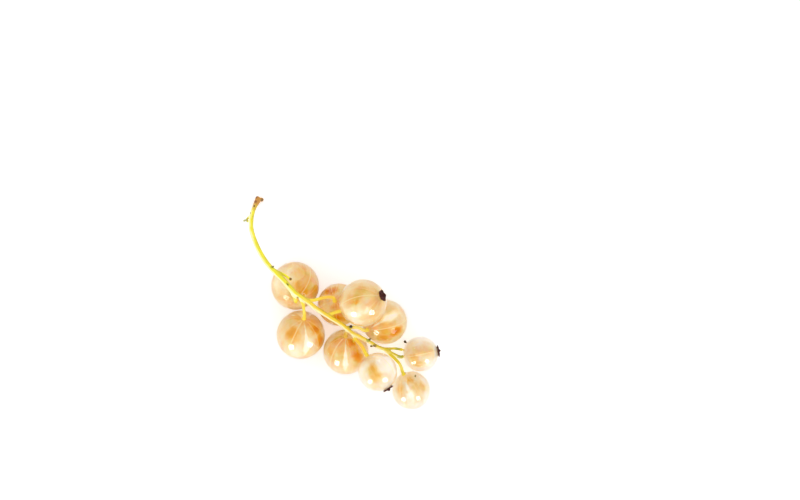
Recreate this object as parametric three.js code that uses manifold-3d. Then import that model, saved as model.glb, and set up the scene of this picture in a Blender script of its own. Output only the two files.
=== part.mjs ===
// A sprig of pale currants: nine translucent berries with dried calyxes, hanging by short stalks
// from one bent green-yellow stem. It lies on a flat surface, on the underside of its lower berries.
// Millimetres, +Z up, origin on the surface under the middle of the sprig.

import * as THREE from 'three';
import { mergeVertices } from 'three/addons/utils/BufferGeometryUtils.js';
import Module from 'manifold-3d';

const wasm = await Module();
wasm.setup();

// ---- Driving dimensions ----

const REST_FLAT_DEPTH = 0.12; // how far a berry that lies on the surface is flattened by its weight

const BERRY_SIDES = 26;
const BERRY_RINGS = 17;
const RING_CROWDING = 1.25; // above 1, the rings lie closer together round the stalk end
const DIMPLE_DEPTH = 0.2; // shallow pit in which the stalk ends
const DIMPLE_WIDTH = 0.75;
const STALK_CLEARANCE = 0.08; // between the stalk's end and the bottom of the pit

const CALYX_RADIUS = 1.2;
const CALYX_HEIGHT = 0.32; // from the berry's skin to the top of the rim
const CALYX_EDGE = 0.08; // from the berry's skin to the rim's outer edge
const CALYX_FLOOR = 0.17; // from the berry's skin to the hollow inside the rim
const STYLE_FOOT_RADIUS = 0.36; // the withered style that stands in the hollow
const STYLE_RADIUS = 0.14;
const STYLE_HEIGHT = 0.75;
const CALYX_LOBES = 5; // one for each dried sepal
const CALYX_LOBE_DEPTH = 0.1; // share of the radius by which the rim waves out and in
const CALYX_LOBE_LIFT = 0.05; // how far the rim rises at each lobe
const CALYX_SIDES = 20;
const CALYX_CLEARANCE = 0.05;

const STEM_SIDES = 10;
const STEM_STEPS = 72;
const STEM_DIAMETER_CUT_END = 0.98;
const STEM_DIAMETER_TIP = 0.72;
const STEM_SWELLING = 0.28; // extra diameter half way along, where most of the stalks leave
const CUT_END_FLARE = 0.24; // extra radius of the heel where the sprig was pulled from the twig
const CUT_END_FLARE_LENGTH = 1.5;

const STALK_SIDES = 8;
const STALK_STEP = 0.7; // spacing of the stalk's rings along its length
const STALK_DIAMETER = 0.72;
const STALK_ROOT_SWELLING = 0.1; // extra radius where a stalk leaves the stem
const STALK_HEAD_SWELLING = 0.14; // extra radius of the receptacle against the berry
const SWELLING_LENGTH = 0.5;
const STALK_APPROACH = 0.6; // length over which a stalk runs straight into its berry

const STUB_SIDES = 6;
const BRACT = { thickness: 0.3, length: 0.85, width: 0.5 };
const LUMP_SIDES = 8;
const LUMP_RINGS = 6;

const COLOURS = {
  amberBerry: 0xe9b878,
  paleBerry: 0xf2dcb8,
  calyx: 0x3c1a12,
  stem: 0xd9c92a,
};

// The berries, from the stem's cut end to its tip. A direction is an azimuth from +X towards +Y and an
// elevation above the surface, in degrees. A berry with no height of its own lies on the surface.
const BERRIES = [
  { plan: [-10.05, 3.75], radius: 5.37, stalkEnd: [-85, 54], calyxEnd: [95, -46] },
  { plan: [-8.85, -7.05], radius: 5.41, stalkEnd: [77, 46], calyxEnd: [-97, -46] },
  { plan: [-0.4, -0.4], radius: 4.75, height: 5.4, stalkEnd: [134, 74], calyxEnd: [-42, -72] },
  { plan: [4.95, 0.15], radius: 5.19, height: 13.9, stalkEnd: [-158, -35], calyxEnd: [21, 30] },
  { plan: [9.65, -4.2], radius: 5.02, stalkEnd: [-156, 35], calyxEnd: [24, -45] },
  { plan: [1.1, -10.8], radius: 5.08, stalkEnd: [90, 45], calyxEnd: [-90, -43] },
  { plan: [8.15, -15.05], radius: 4.28, height: 9.8, stalkEnd: [123, 5], calyxEnd: [-58, 0] },
  { plan: [17.5, -11.3], radius: 3.92, stalkEnd: [-171, 4], calyxEnd: [10, 3] },
  { plan: [15.45, -19.3], radius: 4.23, stalkEnd: [115, 22], calyxEnd: [-65, -48] },
];
const FIRST_PALE_BERRY = 7;

// The stem's middle line, from the cut end, which touches the surface, over the berries to the tip.
const STEM_ROUTE = [
  [-18.2, 23.1, 0.66], [-19.1, 21.3, 1.4], [-19.6, 19.7, 2.7], [-19.8, 18.0, 4.0], [-19.7, 16.2, 5.4],
  [-19.0, 14.0, 6.9], [-18.0, 11.8, 8.2], [-16.5, 9.3, 9.5], [-14.9, 7.4, 10.4], [-12.5, 5.1, 11.1],
  [-11.0, 3.4, 11.4], [-9.7, 2.1, 11.3], [-7.5, 0.6, 10.7], [-5.0, -1.4, 10.1], [-2.1, -3.2, 9.8],
  [0.5, -4.9, 9.4], [2.7, -6.7, 9.0], [4.5, -7.6, 8.5], [6.4, -8.6, 7.8], [8.2, -9.7, 6.8],
  [10.0, -10.4, 5.7], [11.7, -11.4, 4.6],
];

// Each berry's stalk, from inside the stem to just short of the berry. Berry 8 ends the stem itself.
const STALK_ROUTES = {
  1: [[-11.6, 4.1, 11.2], [-10.7, 2.6, 11.4], [-10.0, 1.2, 10.8]],
  2: [[-8.9, 1.5, 11.0], [-8.2, 0.0, 11.0], [-7.95, -1.8, 10.6]],
  3: [[-7.7, 0.8, 10.7], [-6.2, 0.6, 10.9], [-4.0, 1.1, 11.1], [-2.4, 1.35, 11.3], [-1.5, 1.1, 11.1]],
  4: [[-4.9, -1.5, 10.1], [-3.5, -2.4, 10.0], [-2.3, -2.4, 10.1], [-1.0, -2.0, 10.4]],
  5: [[1.3, -5.5, 9.1], [2.3, -5.3, 9.1], [3.8, -5.4, 8.8]],
  6: [[1.6, -5.8, 9.0]],
  7: [[2.7, -6.7, 8.9], [3.4, -8.0, 9.4], [4.6, -9.3, 9.9]],
  9: [[9.6, -10.2, 5.9], [11.0, -11.5, 5.8], [12.1, -12.5, 6.0], [13.0, -13.6, 6.1]],
};
const STEM_TIP_BERRY = 8;

// Stalks whose flowers never set fruit, each with its diameter.
const BARREN_STALKS = [
  { diameter: 0.5, route: [[-19.7, 19.7, 2.8], [-20.3, 18.95, 2.5], [-20.95, 18.2, 2.1]] },
  { diameter: 0.5, route: [[-21.6, 18.05, 1.9], [-21.0, 18.15, 2.05], [-20.5, 17.85, 2.2]] },
  {
    diameter: 0.52,
    route: [[-15.5, 8.0, 10.2], [-13.7, 6.95, 10.6], [-12.1, 6.1, 10.8], [-11.0, 5.3, 10.9]],
  },
  { diameter: 0.44, route: [[2.8, -7.0, 8.9], [2.9, -8.0, 9.3], [2.85, -8.55, 9.6]] },
  {
    diameter: 0.6,
    route: [[9.0, -10.0, 6.3], [10.4, -10.1, 5.5], [11.9, -10.1, 4.3], [13.3, -10.35, 3.2]],
  },
  {
    diameter: 0.36,
    route: [
      [13.1, -10.3, 3.3], [13.8, -10.4, 1.9], [14.6, -9.9, 1.0], [14.7, -9.3, 0.6], [14.15, -8.75, 0.65],
    ],
  },
];

// Dry scale leaves at the stalks' roots: where each is rooted, and the way its tip and its face point.
const BRACTS = [
  { root: [-11.7, 4.3, 11.6], tip: [0.6, -0.6, 0.35], face: [0.3, 0.3, 1] },
  { root: [7.0, -9.35, 7.3], tip: [-0.9, -0.3, 0.1], face: [-0.3, -0.5, 1] },
  { root: [6.1, -8.0, 8.0], tip: [0.8, 0.1, 0.1], face: [0.2, 1, 0.5] },
  { root: [-15.0, 7.9, 10.6], tip: [0.7, 0.1, 0.2], face: [0.4, 0.8, 0.6] },
];
// Shrivelled flower buds, and the torn lumps of bark at the cut end.
const BUDS = [
  { centre: [-10.9, 5.25, 10.95], radius: 0.34 },
  { centre: [2.3, -5.1, 9.45], radius: 0.36 },
  { centre: [14.1, -8.7, 0.62], radius: 0.34 },
  { centre: [13.3, -10.35, 3.2], radius: 0.36 },
];
const HEEL_LUMPS = [
  { centre: [-18.55, 23.05, 0.46], radius: 0.5 },
  { centre: [-17.65, 22.75, 0.43], radius: 0.46 },
];

// ---- Helpers ----

const UP = new THREE.Vector3(0, 1, 0); // a lathe's axis
const vector = ([x, y, z]) => new THREE.Vector3(x, y, z);

function direction([azimuth, elevation]) {
  const turn = THREE.MathUtils.degToRad(azimuth);
  const rise = THREE.MathUtils.degToRad(elevation);
  const level = Math.cos(rise);
  return new THREE.Vector3(level * Math.cos(turn), level * Math.sin(turn), Math.sin(rise));
}

function solidOf(geometry) {
  const bare = geometry.clone();
  bare.deleteAttribute('normal');
  bare.deleteAttribute('uv');
  const merged = mergeVertices(bare);
  const corners = merged.index.array;
  const triangles = [];
  for (let i = 0; i < corners.length; i += 3) {
    const [a, b, c] = corners.slice(i, i + 3);
    if (a !== b && b !== c && c !== a) triangles.push(a, b, c);
  }
  const vertProperties = Float32Array.from(merged.attributes.position.array);
  const triVerts = Uint32Array.from(triangles);
  return new wasm.Manifold(new wasm.Mesh({ numProp: 3, vertProperties, triVerts }));
}

function geometryOf(solid) {
  const { vertProperties, triVerts } = solid.getMesh();
  const geometry = new THREE.BufferGeometry();
  geometry.setAttribute('position', new THREE.BufferAttribute(vertProperties, 3));
  geometry.setIndex(new THREE.BufferAttribute(triVerts, 1));
  geometry.computeVertexNormals();
  return geometry;
}

// What lies below the surface, for a piece whose own middle is at the given height above it.
function groundBelow(height) {
  const size = 60;
  const ground = new THREE.BoxGeometry(size, size, size);
  ground.translate(0, 0, -height - size / 2);
  return solidOf(ground);
}

// A capped round tube bent along a curve; radiusAt gives its radius for a distance from the start.
function tube(curve, radiusAt, sides, steps) {
  const geometry = new THREE.CylinderGeometry(1, 1, 1, sides, steps);
  const frames = curve.computeFrenetFrames(steps);
  const length = curve.getLength();
  const position = geometry.attributes.position;
  for (let i = 0; i < position.count; i++) {
    const share = position.getY(i) + 0.5;
    const ring = Math.round(share * steps);
    const radius = radiusAt(share * length, length);
    const point = curve.getPointAt(share);
    point.addScaledVector(frames.normals[ring], position.getX(i) * radius);
    point.addScaledVector(frames.binormals[ring], -position.getZ(i) * radius);
    position.setXYZ(i, point.x, point.y, point.z);
  }
  return geometry;
}

const curveThrough = (points) => new THREE.CatmullRomCurve3(points, false, 'centripetal');
const fade = (distance, length) => Math.exp(-((distance / length) ** 2));

// ---- Berries ----

function berryCentre({ plan, radius, height = radius - REST_FLAT_DEPTH }) {
  return new THREE.Vector3(plan[0], plan[1], height);
}

function berryGeometry(berry) {
  const profile = [];
  for (let ring = 0; ring <= BERRY_RINGS; ring++) {
    const angle = Math.PI * (1 - (1 - ring / BERRY_RINGS) ** RING_CROWDING);
    const pit = DIMPLE_DEPTH * fade(berry.radius * (Math.PI - angle), DIMPLE_WIDTH);
    const reach = berry.radius - pit;
    const onAxis = ring === 0 || ring === BERRY_RINGS;
    profile.push(new THREE.Vector2(onAxis ? 0 : reach * Math.sin(angle), -reach * Math.cos(angle)));
  }
  const geometry = new THREE.LatheGeometry(profile, BERRY_SIDES);
  geometry.applyQuaternion(new THREE.Quaternion().setFromUnitVectors(UP, direction(berry.stalkEnd)));
  return geometryOf(solidOf(geometry).subtract(groundBelow(berryCentre(berry).z)));
}

// ---- Calyxes ----

function calyxGeometry(berry) {
  const profile = calyxOutline(berry.radius).map(([x, y]) => new THREE.Vector2(x, y));
  const geometry = new THREE.LatheGeometry(profile, CALYX_SIDES);
  waveRim(geometry.attributes.position);
  geometry.applyQuaternion(new THREE.Quaternion().setFromUnitVectors(UP, direction(berry.calyxEnd)));
  return geometryOf(solidOf(geometry).subtract(groundBelow(berryCentre(berry).z)));
}

// Half a section through the calyx: out under it along the berry's skin, over the rim, down into the
// hollow and up the style. The heights are measured from the middle of the berry.
function calyxOutline(berryRadius) {
  const skin = (x) => Math.sqrt((berryRadius + CALYX_CLEARANCE) ** 2 - x * x);
  const hollow = berryRadius + CALYX_FLOOR;
  const inner = 0.6 * CALYX_RADIUS;
  const foot = 0.92 * CALYX_RADIUS;
  return [
    [0, skin(0)],
    [inner, skin(inner)],
    [foot, skin(foot)],
    [CALYX_RADIUS, berryRadius + CALYX_EDGE],
    [foot, berryRadius + CALYX_HEIGHT],
    [inner, (hollow + berryRadius + CALYX_HEIGHT) / 2],
    [STYLE_FOOT_RADIUS, hollow],
    [STYLE_RADIUS, berryRadius + 0.9 * STYLE_HEIGHT],
    [0, berryRadius + STYLE_HEIGHT],
  ];
}

function waveRim(position) {
  for (let i = 0; i < position.count; i++) {
    const [x, y, z] = [position.getX(i), position.getY(i), position.getZ(i)];
    const outward = Math.min(1, Math.hypot(x, z) / CALYX_RADIUS) ** 2;
    const lobe = outward * Math.cos(CALYX_LOBES * Math.atan2(x, z));
    const wave = 1 + CALYX_LOBE_DEPTH * lobe;
    position.setXYZ(i, x * wave, y + CALYX_LOBE_LIFT * (lobe + outward), z * wave);
  }
}

// ---- Stem ----

// The last stretch of a stalk: straight down the berry's own axis into its pit.
function stalkEnd(berry) {
  const axis = direction(berry.stalkEnd);
  const pitFloor = berry.radius - DIMPLE_DEPTH + STALK_CLEARANCE;
  const centre = berryCentre(berry);
  const before = centre.clone().addScaledVector(axis, pitFloor + STALK_APPROACH);
  return [before, centre.addScaledVector(axis, pitFloor)];
}

function mainStem() {
  const route = [...STEM_ROUTE.map(vector), ...stalkEnd(BERRIES[STEM_TIP_BERRY - 1])];
  const radiusAt = (distance, length) => {
    const share = distance / length;
    const even = THREE.MathUtils.lerp(STEM_DIAMETER_CUT_END, STEM_DIAMETER_TIP, share);
    const diameter = even + STEM_SWELLING * Math.sin(Math.PI * share);
    const heel = CUT_END_FLARE * fade(distance, CUT_END_FLARE_LENGTH);
    const head = (STALK_HEAD_SWELLING / 2) * fade(length - distance, SWELLING_LENGTH);
    return diameter / 2 + heel + head;
  };
  return tube(curveThrough(route), radiusAt, STEM_SIDES, STEM_STEPS);
}

function berryStalk(number) {
  const route = [...STALK_ROUTES[number].map(vector), ...stalkEnd(BERRIES[number - 1])];
  const curve = curveThrough(route);
  const radiusAt = (distance, length) => {
    const root = STALK_ROOT_SWELLING * fade(distance, 2 * SWELLING_LENGTH);
    const head = STALK_HEAD_SWELLING * fade(length - distance, SWELLING_LENGTH);
    return STALK_DIAMETER / 2 + root + head;
  };
  return tube(curve, radiusAt, STALK_SIDES, Math.round(curve.getLength() / STALK_STEP));
}

function barrenStalk({ route, diameter }) {
  const curve = curveThrough(route.map(vector));
  const steps = Math.max(3, Math.round(curve.getLength() / STALK_STEP));
  return tube(curve, () => diameter / 2, STUB_SIDES, steps);
}

function bract({ root, tip, face }) {
  const leaf = new THREE.SphereGeometry(0.5, LUMP_SIDES, LUMP_RINGS);
  leaf.scale(BRACT.width, BRACT.length, BRACT.thickness);
  leaf.translate(0, BRACT.length / 4, 0);
  const along = vector(tip).normalize();
  const across = new THREE.Vector3().crossVectors(along, vector(face)).normalize();
  const out = new THREE.Vector3().crossVectors(across, along);
  leaf.applyMatrix4(new THREE.Matrix4().makeBasis(across, along, out));
  return leaf.translate(...root);
}

function lump({ centre, radius }) {
  return new THREE.SphereGeometry(radius, LUMP_SIDES, LUMP_RINGS).translate(...centre);
}

function stemGeometry() {
  const grown = [
    ...Object.keys(STALK_ROUTES).map((number) => berryStalk(Number(number))),
    ...BARREN_STALKS.map(barrenStalk),
    ...BRACTS.map(bract),
    ...BUDS.map(lump),
    ...HEEL_LUMPS.map(lump),
  ];
  const whole = grown.reduce((solid, geometry) => solid.add(solidOf(geometry)), solidOf(mainStem()));
  return geometryOf(whole.subtract(groundBelow(0)));
}

// ---- The sprig ----

function piece(name, geometry, colour, roughness) {
  const material = new THREE.MeshStandardMaterial({ color: colour, roughness, metalness: 0 });
  const mesh = new THREE.Mesh(geometry, material);
  mesh.name = name;
  return mesh;
}

const sprig = new THREE.Group();
sprig.add(piece('stem', stemGeometry(), COLOURS.stem, 0.45));
BERRIES.forEach((berry, index) => {
  const number = index + 1;
  const colour = number < FIRST_PALE_BERRY ? COLOURS.amberBerry : COLOURS.paleBerry;
  const fruit = piece(`berry_${number}`, berryGeometry(berry), colour, 0.12);
  const crown = piece(`calyx_${number}`, calyxGeometry(berry), COLOURS.calyx, 0.8);
  fruit.position.copy(berryCentre(berry));
  crown.position.copy(berryCentre(berry));
  sprig.add(fruit, crown);
});

export default sprig;
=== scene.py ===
"""A sprig of pale currants: nine translucent berries on one bent stem, lying on a white surface.

Lengths in the tables are millimetres, in the frame's own axes; MM turns them into Blender's metres.
"""
import math
import random

import bpy
from bpy.props import FloatProperty, FloatVectorProperty, IntProperty, PointerProperty
from mathutils import Matrix, Vector, kdtree


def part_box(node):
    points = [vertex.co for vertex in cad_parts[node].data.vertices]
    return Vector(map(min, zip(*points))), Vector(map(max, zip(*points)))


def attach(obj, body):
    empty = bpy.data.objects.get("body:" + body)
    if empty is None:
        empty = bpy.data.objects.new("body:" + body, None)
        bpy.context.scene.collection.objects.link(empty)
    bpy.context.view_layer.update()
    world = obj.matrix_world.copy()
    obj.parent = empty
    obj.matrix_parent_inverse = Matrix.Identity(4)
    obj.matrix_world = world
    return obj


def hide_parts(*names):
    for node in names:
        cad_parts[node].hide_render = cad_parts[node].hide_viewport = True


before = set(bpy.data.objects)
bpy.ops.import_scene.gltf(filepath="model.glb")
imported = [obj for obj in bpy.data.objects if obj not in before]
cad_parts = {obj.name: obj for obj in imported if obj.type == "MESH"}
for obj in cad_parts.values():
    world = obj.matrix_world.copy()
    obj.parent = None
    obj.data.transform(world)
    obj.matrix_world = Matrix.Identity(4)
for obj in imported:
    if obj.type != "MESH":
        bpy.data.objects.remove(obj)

bl_info = {
    "name": "Pale currant sprig",
    "version": (1, 0, 0),
    "blender": (4, 5, 0),
    "location": "3D View > Sidebar > Currants",
    "description": "Dresses a sprig of pale currants: skins, pulp, seeds, veins, calyxes and stem",
    "category": "Object",
}

MM = 0.001

# ---- The sprig's own measures ----

# For each berry, in degrees: the ways that its stalk, the clear side of its pulp and its strongest
# vein point, as an azimuth and an elevation, and half the angle that the clear wedge spans. Then
# how clear the wedge is and how softly it ends, how deep the colour of the pulp is, what share of
# it fades low on the berry's sides, as clearer flesh and painted light, and how much painted shade
# tints the skin there. Last come the seeds that glow through the skin, the glints (spots where the
# pulp is clearer and painted paler, as painted light shining through) and the places where the
# skin is dull, each with its azimuth, elevation, reach (as a share of the radius) and strength.
BERRIES = {
    1: {"stalk": (-85, 54), "clear_side": (128, 50), "vein": (40, 31), "wedge": 32, "clear": 0.35,
        "edge": 0.05, "depth": 0.8, "lost_low": 0.0, "skin_tint": 1.0,
        "seeds": [(4, 53, 0.86, 0.85), (66, 45, 0.55, 1.3), (-11, 17, 0.45, 1.9),
                  (8, 81, 0.41, 1.6), (-35, 58, 0.37, 2.0), (95, 22, 0.45, 1.0),
                  (-140, 38, 0.55, 0.15)],
        "glints": [(113, 46, 0.37, 0.8), (174, 33, 0.40, 0.6)],
        "dull": [(-128, 53, 0.5, 0.8), (-47, 57, 0.5, 1.0)]},
    2: {"stalk": (77, 46), "clear_side": (-18, 71), "vein": (171, 75), "wedge": 5.5, "clear": 1.0,
        "edge": 0.06, "depth": 0.85, "lost_low": 0.0, "skin_tint": 0.6,
        "seeds": [(166, 69, 0.42, 2.5), (-135, 72, 0.37, 1.2), (21, 40, 0.30, 3.4),
                  (-13, 21, 0.32, 3.8), (43, 36, 0.49, 1.2), (106, 41, 0.49, 0.6)],
        "glints": [(-47, 58, 0.29, 1.0), (-107, 29, 0.74, 0.75), (-171, 11, 0.37, 0.2)]},
    3: {"stalk": (134, 74), "clear_side": (-30, 40), "vein": (150, 40), "wedge": 8, "clear": 0.5,
        "edge": 0.1, "depth": 1.1, "lost_low": 0.0, "skin_tint": 0.6,
        "seeds": [(129, 26, 0.33, 3.1), (111, 39, 0.31, 3.1), (-150, 80, 0.33, 1.8),
                  (-90, 50, 0.46, 2.8)],
        "glints": [(153, 70, 0.25, 0.4)]},
    4: {"stalk": (-158, -35), "clear_side": (-50, 66), "vein": (90, 73), "wedge": 5, "clear": 0.5,
        "edge": 0.12, "depth": 0.9, "lost_low": 0.2, "skin_tint": 0.0,
        "seeds": [(168, 69, 0.21, 2.4), (149, 63, 0.41, 1.0), (94, 53, 0.29, 1.0),
                  (-29, 30, 0.62, 0.4)],
        "glints": [(-138, 37, 0.39, 0.9), (-110, 51, 0.41, 1.0), (-63, 61, 0.33, 0.9),
                   (-112, 26, 0.33, 0.8), (-173, 4, 0.33, 0.4)]},
    5: {"stalk": (-156, 35), "clear_side": (37, 57), "vein": (-27, 64), "wedge": 7, "clear": 0.95,
        "edge": 0.13, "depth": 0.88, "lost_low": 0.22, "skin_tint": 0.0,
        "seeds": [(-38, 42, 0.33, 3.8), (-96, 64, 0.37, 1.6), (-96, 36, 0.41, 2.1),
                  (-90, 84, 0.50, 1.2), (-158, 62, 0.37, 1.0)],
        "glints": [(43, 62, 0.25, 0.6), (35, 47, 0.25, 0.6), (83, 11, 0.41, 0.2)],
        "dull": [(-47, 57, 0.5, 0.95)]},
    6: {"stalk": (90, 45), "clear_side": (-100, 85), "vein": (176, 57), "wedge": 4.6, "clear": 1.0,
        "edge": 0.06, "depth": 0.9, "lost_low": 0.28, "skin_tint": 0.5,
        "seeds": [(-16, 51, 0.33, 3.2), (59, 57, 0.31, 3.4), (22, 62, 0.37, 1.6),
                  (124, 46, 0.37, 1.5), (174, 40, 0.33, 1.1), (171, 75, 0.29, 0.9)],
        "glints": [(-94, 53, 0.40, 0.25), (-112, 26, 0.55, 0.15)]},
    7: {"stalk": (123, 5), "clear_side": (28, 45), "vein": (60, 40), "wedge": 25, "clear": 0.7,
        "edge": 0.2, "depth": 0.4, "lost_low": 0.4, "skin_tint": 0.0,
        "seeds": [(138, 73, 0.40, 1.9), (-146, 81, 0.55, 1.7), (96, 34, 0.21, 0.6),
                  (-96, 18, 0.55, 0.4)],
        "glints": [(28, 50, 0.47, 0.7), (-45, 52, 0.47, 0.55), (-145, 27, 0.55, 0.4),
                   (65, 26, 0.30, 0.8), (93, 18, 0.5, 0.5), (180, 31, 0.5, 0.5)]},
    8: {"stalk": (-171, 4), "clear_side": (-54, 20), "vein": (0, 90), "wedge": 6, "clear": 0.0,
        "edge": 0.2, "depth": 0.45, "lost_low": 0.6, "skin_tint": 0.0,
        "seeds": [(120, 80, 0.47, 0.7), (-152, 65, 0.39, 1.2), (18, 56, 0.60, 0.65),
                  (-102, 51, 0.45, 1.0)],
        "glints": [(-54, 41, 0.50, 0.7), (-122, 17, 0.47, 0.4), (90, 6, 0.77, 0.5),
                   (-43, 19, 0.5, 0.6)]},
    9: {"stalk": (115, 22), "clear_side": (-110, 78), "vein": (176, 53), "wedge": 4, "clear": 0.8,
        "edge": 0.08, "depth": 0.4, "lost_low": 0.3, "skin_tint": 0.2,
        "seeds": [(98, 53, 0.32, 1.9), (38, 67, 0.42, 0.9), (22, 47, 0.34, 1.0),
                  (174, 49, 0.42, 1.1)],
        "glints": [(-101, 77, 0.34, 1.0), (-87, 42, 0.55, 0.35), (-24, 7, 0.51, 0.5),
                   (122, 35, 0.30, 0.5)]},
}
FIRST_PALE_BERRY = 7
BALL_SEGMENTS = 96
BALL_RINGS = 64
DIMPLE_DEPTH = 0.2
DIMPLE_WIDTH = 1.2
STALK_CLEARANCE = 0.08
STALK_APPROACH = 0.6

# Shares of the pulp's radius: how deep its furrows are, towards the clear side (1) and opposite to
# it (-1), how deep the pits at its two ends are, and how far out the seeds' middles lie.
PULP_FURROWS = {1: 0.07, -1: 0.04}
PULP_END_PIT = 0.07
SEED_LEVEL = 0.91
SEED_SHAPE = (0.42, 0.58, 1.0)  # thickness and width, as shares of the length
HIDDEN_SEEDS = 5
VEIN_LEVEL = 0.955  # how far out the strands lie, as a share of the berry's radius
VEIN_STEPS = 12

CALYX_BEND_RADIUS = 4.7
CALYX_CLEARANCE = 0.04
SEPAL_THICKNESS = 0.1
# From the calyx's foot to its rim, how much wider each ring is than the last and how much higher.
SEPAL_RINGS = ((1.45, 0.02), (1.22, 0.05), (1.12, 0.08), (0.97, 0.08), (0.86, 0.05))
TUFT_SPIKES = 7
TUFT_TURN = 2.4  # radians from one spike to the next

STEM_ROUTE = [
    (-18.2, 23.1, 0.66), (-19.1, 21.3, 1.4), (-19.6, 19.7, 2.7), (-19.8, 18.0, 4.0),
    (-19.7, 16.2, 5.4), (-19.0, 14.0, 6.9), (-18.0, 11.8, 8.2), (-16.5, 9.3, 9.5),
    (-14.9, 7.4, 10.4), (-12.5, 5.1, 11.1), (-11.0, 3.4, 11.4), (-9.7, 2.1, 11.3),
    (-7.5, 0.6, 10.7), (-5.0, -1.4, 10.1), (-2.1, -3.2, 9.8), (0.5, -4.9, 9.4),
    (2.7, -6.7, 9.0), (4.5, -7.6, 8.5), (6.4, -8.6, 7.8), (8.2, -9.7, 6.8),
    (10.0, -10.4, 5.7), (11.7, -11.4, 4.6),
]
STEM_TIP_BERRY = 8
STALK_ROUTES = {
    1: [(-11.6, 4.1, 11.2), (-10.7, 2.6, 11.4), (-10.0, 1.2, 10.8)],
    2: [(-8.9, 1.5, 11.0), (-8.2, 0.0, 11.0), (-7.95, -1.8, 10.6)],
    3: [(-7.7, 0.8, 10.7), (-6.2, 0.6, 10.9), (-4.0, 1.1, 11.1), (-2.4, 1.35, 11.3),
        (-1.5, 1.1, 11.1)],
    4: [(-4.9, -1.5, 10.1), (-3.5, -2.4, 10.0), (-2.3, -2.4, 10.1), (-1.0, -2.0, 10.4)],
    5: [(1.3, -5.5, 9.1), (2.3, -5.3, 9.1), (3.8, -5.4, 8.8)],
    6: [(1.6, -5.8, 9.0)],
    7: [(2.7, -6.7, 8.9), (3.4, -8.0, 9.4), (4.6, -9.3, 9.9)],
    9: [(9.6, -10.2, 5.9), (11.0, -11.5, 5.8), (12.1, -12.5, 6.0), (13.0, -13.6, 6.1)],
}
BARREN_STALKS = [
    {"diameter": 0.5, "route": [(-19.7, 19.7, 2.8), (-20.3, 18.95, 2.5), (-20.95, 18.2, 2.1)]},
    {"diameter": 0.5, "route": [(-21.6, 18.05, 1.9), (-21.0, 18.15, 2.05), (-20.5, 17.85, 2.2)]},
    {"diameter": 0.52,
     "route": [(-15.5, 8.0, 10.2), (-13.7, 6.95, 10.6), (-12.1, 6.1, 10.8), (-11.0, 5.3, 10.9)]},
    {"diameter": 0.44, "route": [(2.8, -7.0, 8.9), (2.9, -8.0, 9.3), (2.85, -8.55, 9.6)]},
    {"diameter": 0.6,
     "route": [(9.0, -10.0, 6.3), (10.4, -10.1, 5.5), (11.9, -10.1, 4.3), (13.3, -10.35, 3.2)]},
    {"diameter": 0.36,
     "route": [(13.1, -10.3, 3.3), (13.8, -10.4, 1.9), (14.6, -9.9, 1.0), (14.7, -9.3, 0.6),
               (14.15, -8.75, 0.65)]},
]
CUT_END_FLARE = 0.24
CUT_END_FLARE_LENGTH = 1.5
STALK_ROOT_SWELLING = 0.1
STALK_HEAD_SWELLING = 0.14
SWELLING_LENGTH = 0.5
STEM_GRAIN = 0.075  # size of the cells in which the stem's parts are run together

BRACTS = [
    {"root": (-11.7, 4.3, 11.6), "tip": (0.6, -0.6, 0.35), "face": (0.3, 0.3, 1)},
    {"root": (7.0, -9.35, 7.3), "tip": (-0.9, -0.3, 0.1), "face": (-0.3, -0.5, 1)},
    {"root": (6.1, -8.0, 8.0), "tip": (0.8, 0.1, 0.1), "face": (0.2, 1, 0.5)},
    {"root": (-15.0, 7.9, 10.6), "tip": (0.7, 0.1, 0.2), "face": (0.4, 0.8, 0.6)},
]
BRACT_THICKNESS = 0.3
BRACT_LENGTH = 0.85
BRACT_WIDTH = 0.5
BUDS = [
    {"centre": (-10.9, 5.25, 10.95), "radius": 0.34},
    {"centre": (2.3, -5.1, 9.45), "radius": 0.36},
    {"centre": (14.1, -8.7, 0.62), "radius": 0.34},
    {"centre": (13.3, -10.35, 3.2), "radius": 0.36},
]
HEEL_LUMPS = [
    {"centre": (-18.55, 23.05, 0.46), "radius": 0.5},
    {"centre": (-17.65, 22.75, 0.43), "radius": 0.46},
]
# Where the stem is stained: the place, the stain's reach, its strength and its name.
STAINS = [
    ((-17.5, 22.6, 0.9), 0.55, 0.9, "umber"),
    ((-18.6, 23.2, 0.9), 0.6, 1.0, "dark"),
    ((-19.0, 22.3, 1.5), 0.4, 0.7, "dark"),
    ((-19.2, 21.4, 2.1), 0.36, 1.0, "dark"),
    ((-18.75, 20.8, 2.6), 0.3, 0.7, "dark"),
    ((-20.05, 19.75, 3.1), 0.32, 0.8, "umber"),
    ((-19.3, 19.1, 3.9), 0.3, 0.6, "umber"),
    ((-20.7, 18.4, 2.3), 0.7, 0.5, "umber"),
    ((-21.3, 18.1, 2.1), 0.8, 0.9, "grey"),
    ((-15.0, 7.9, 10.9), 0.45, 0.4, "green"),
    ((-11.6, 4.4, 12.0), 0.3, 1.0, "umber"),
    ((-10.9, 5.25, 11.1), 0.36, 1.0, "dark"),
    ((-9.4, 1.0, 11.6), 0.45, 0.9, "green"),
    ((2.3, -5.1, 9.7), 0.6, 1.0, "black"),
    ((1.2, -6.9, 9.2), 1.1, 0.85, "ochre"),
    ((6.0, -8.0, 8.3), 0.6, 0.7, "green"),
    ((7.4, -9.4, 7.6), 0.6, 0.9, "umber"),
    ((2.7, -8.4, 9.7), 0.4, 0.5, "umber"),
    ((12.6, -10.2, 4.2), 1.0, 0.6, "green"),
    ((13.0, -11.9, 4.5), 0.9, 0.6, "green"),
    ((14.1, -8.7, 0.8), 0.6, 1.0, "black"),
    ((13.2, -14.0, 6.5), 1.2, 0.5, "pale"),
    ((-3.0, 1.4, 11.4), 2.0, 0.8, "gold"),
    ((4.2, -9.0, 10.2), 2.0, 0.8, "gold"),
    ((4.0, -5.4, 9.0), 1.8, 0.7, "pale"),
]
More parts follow.
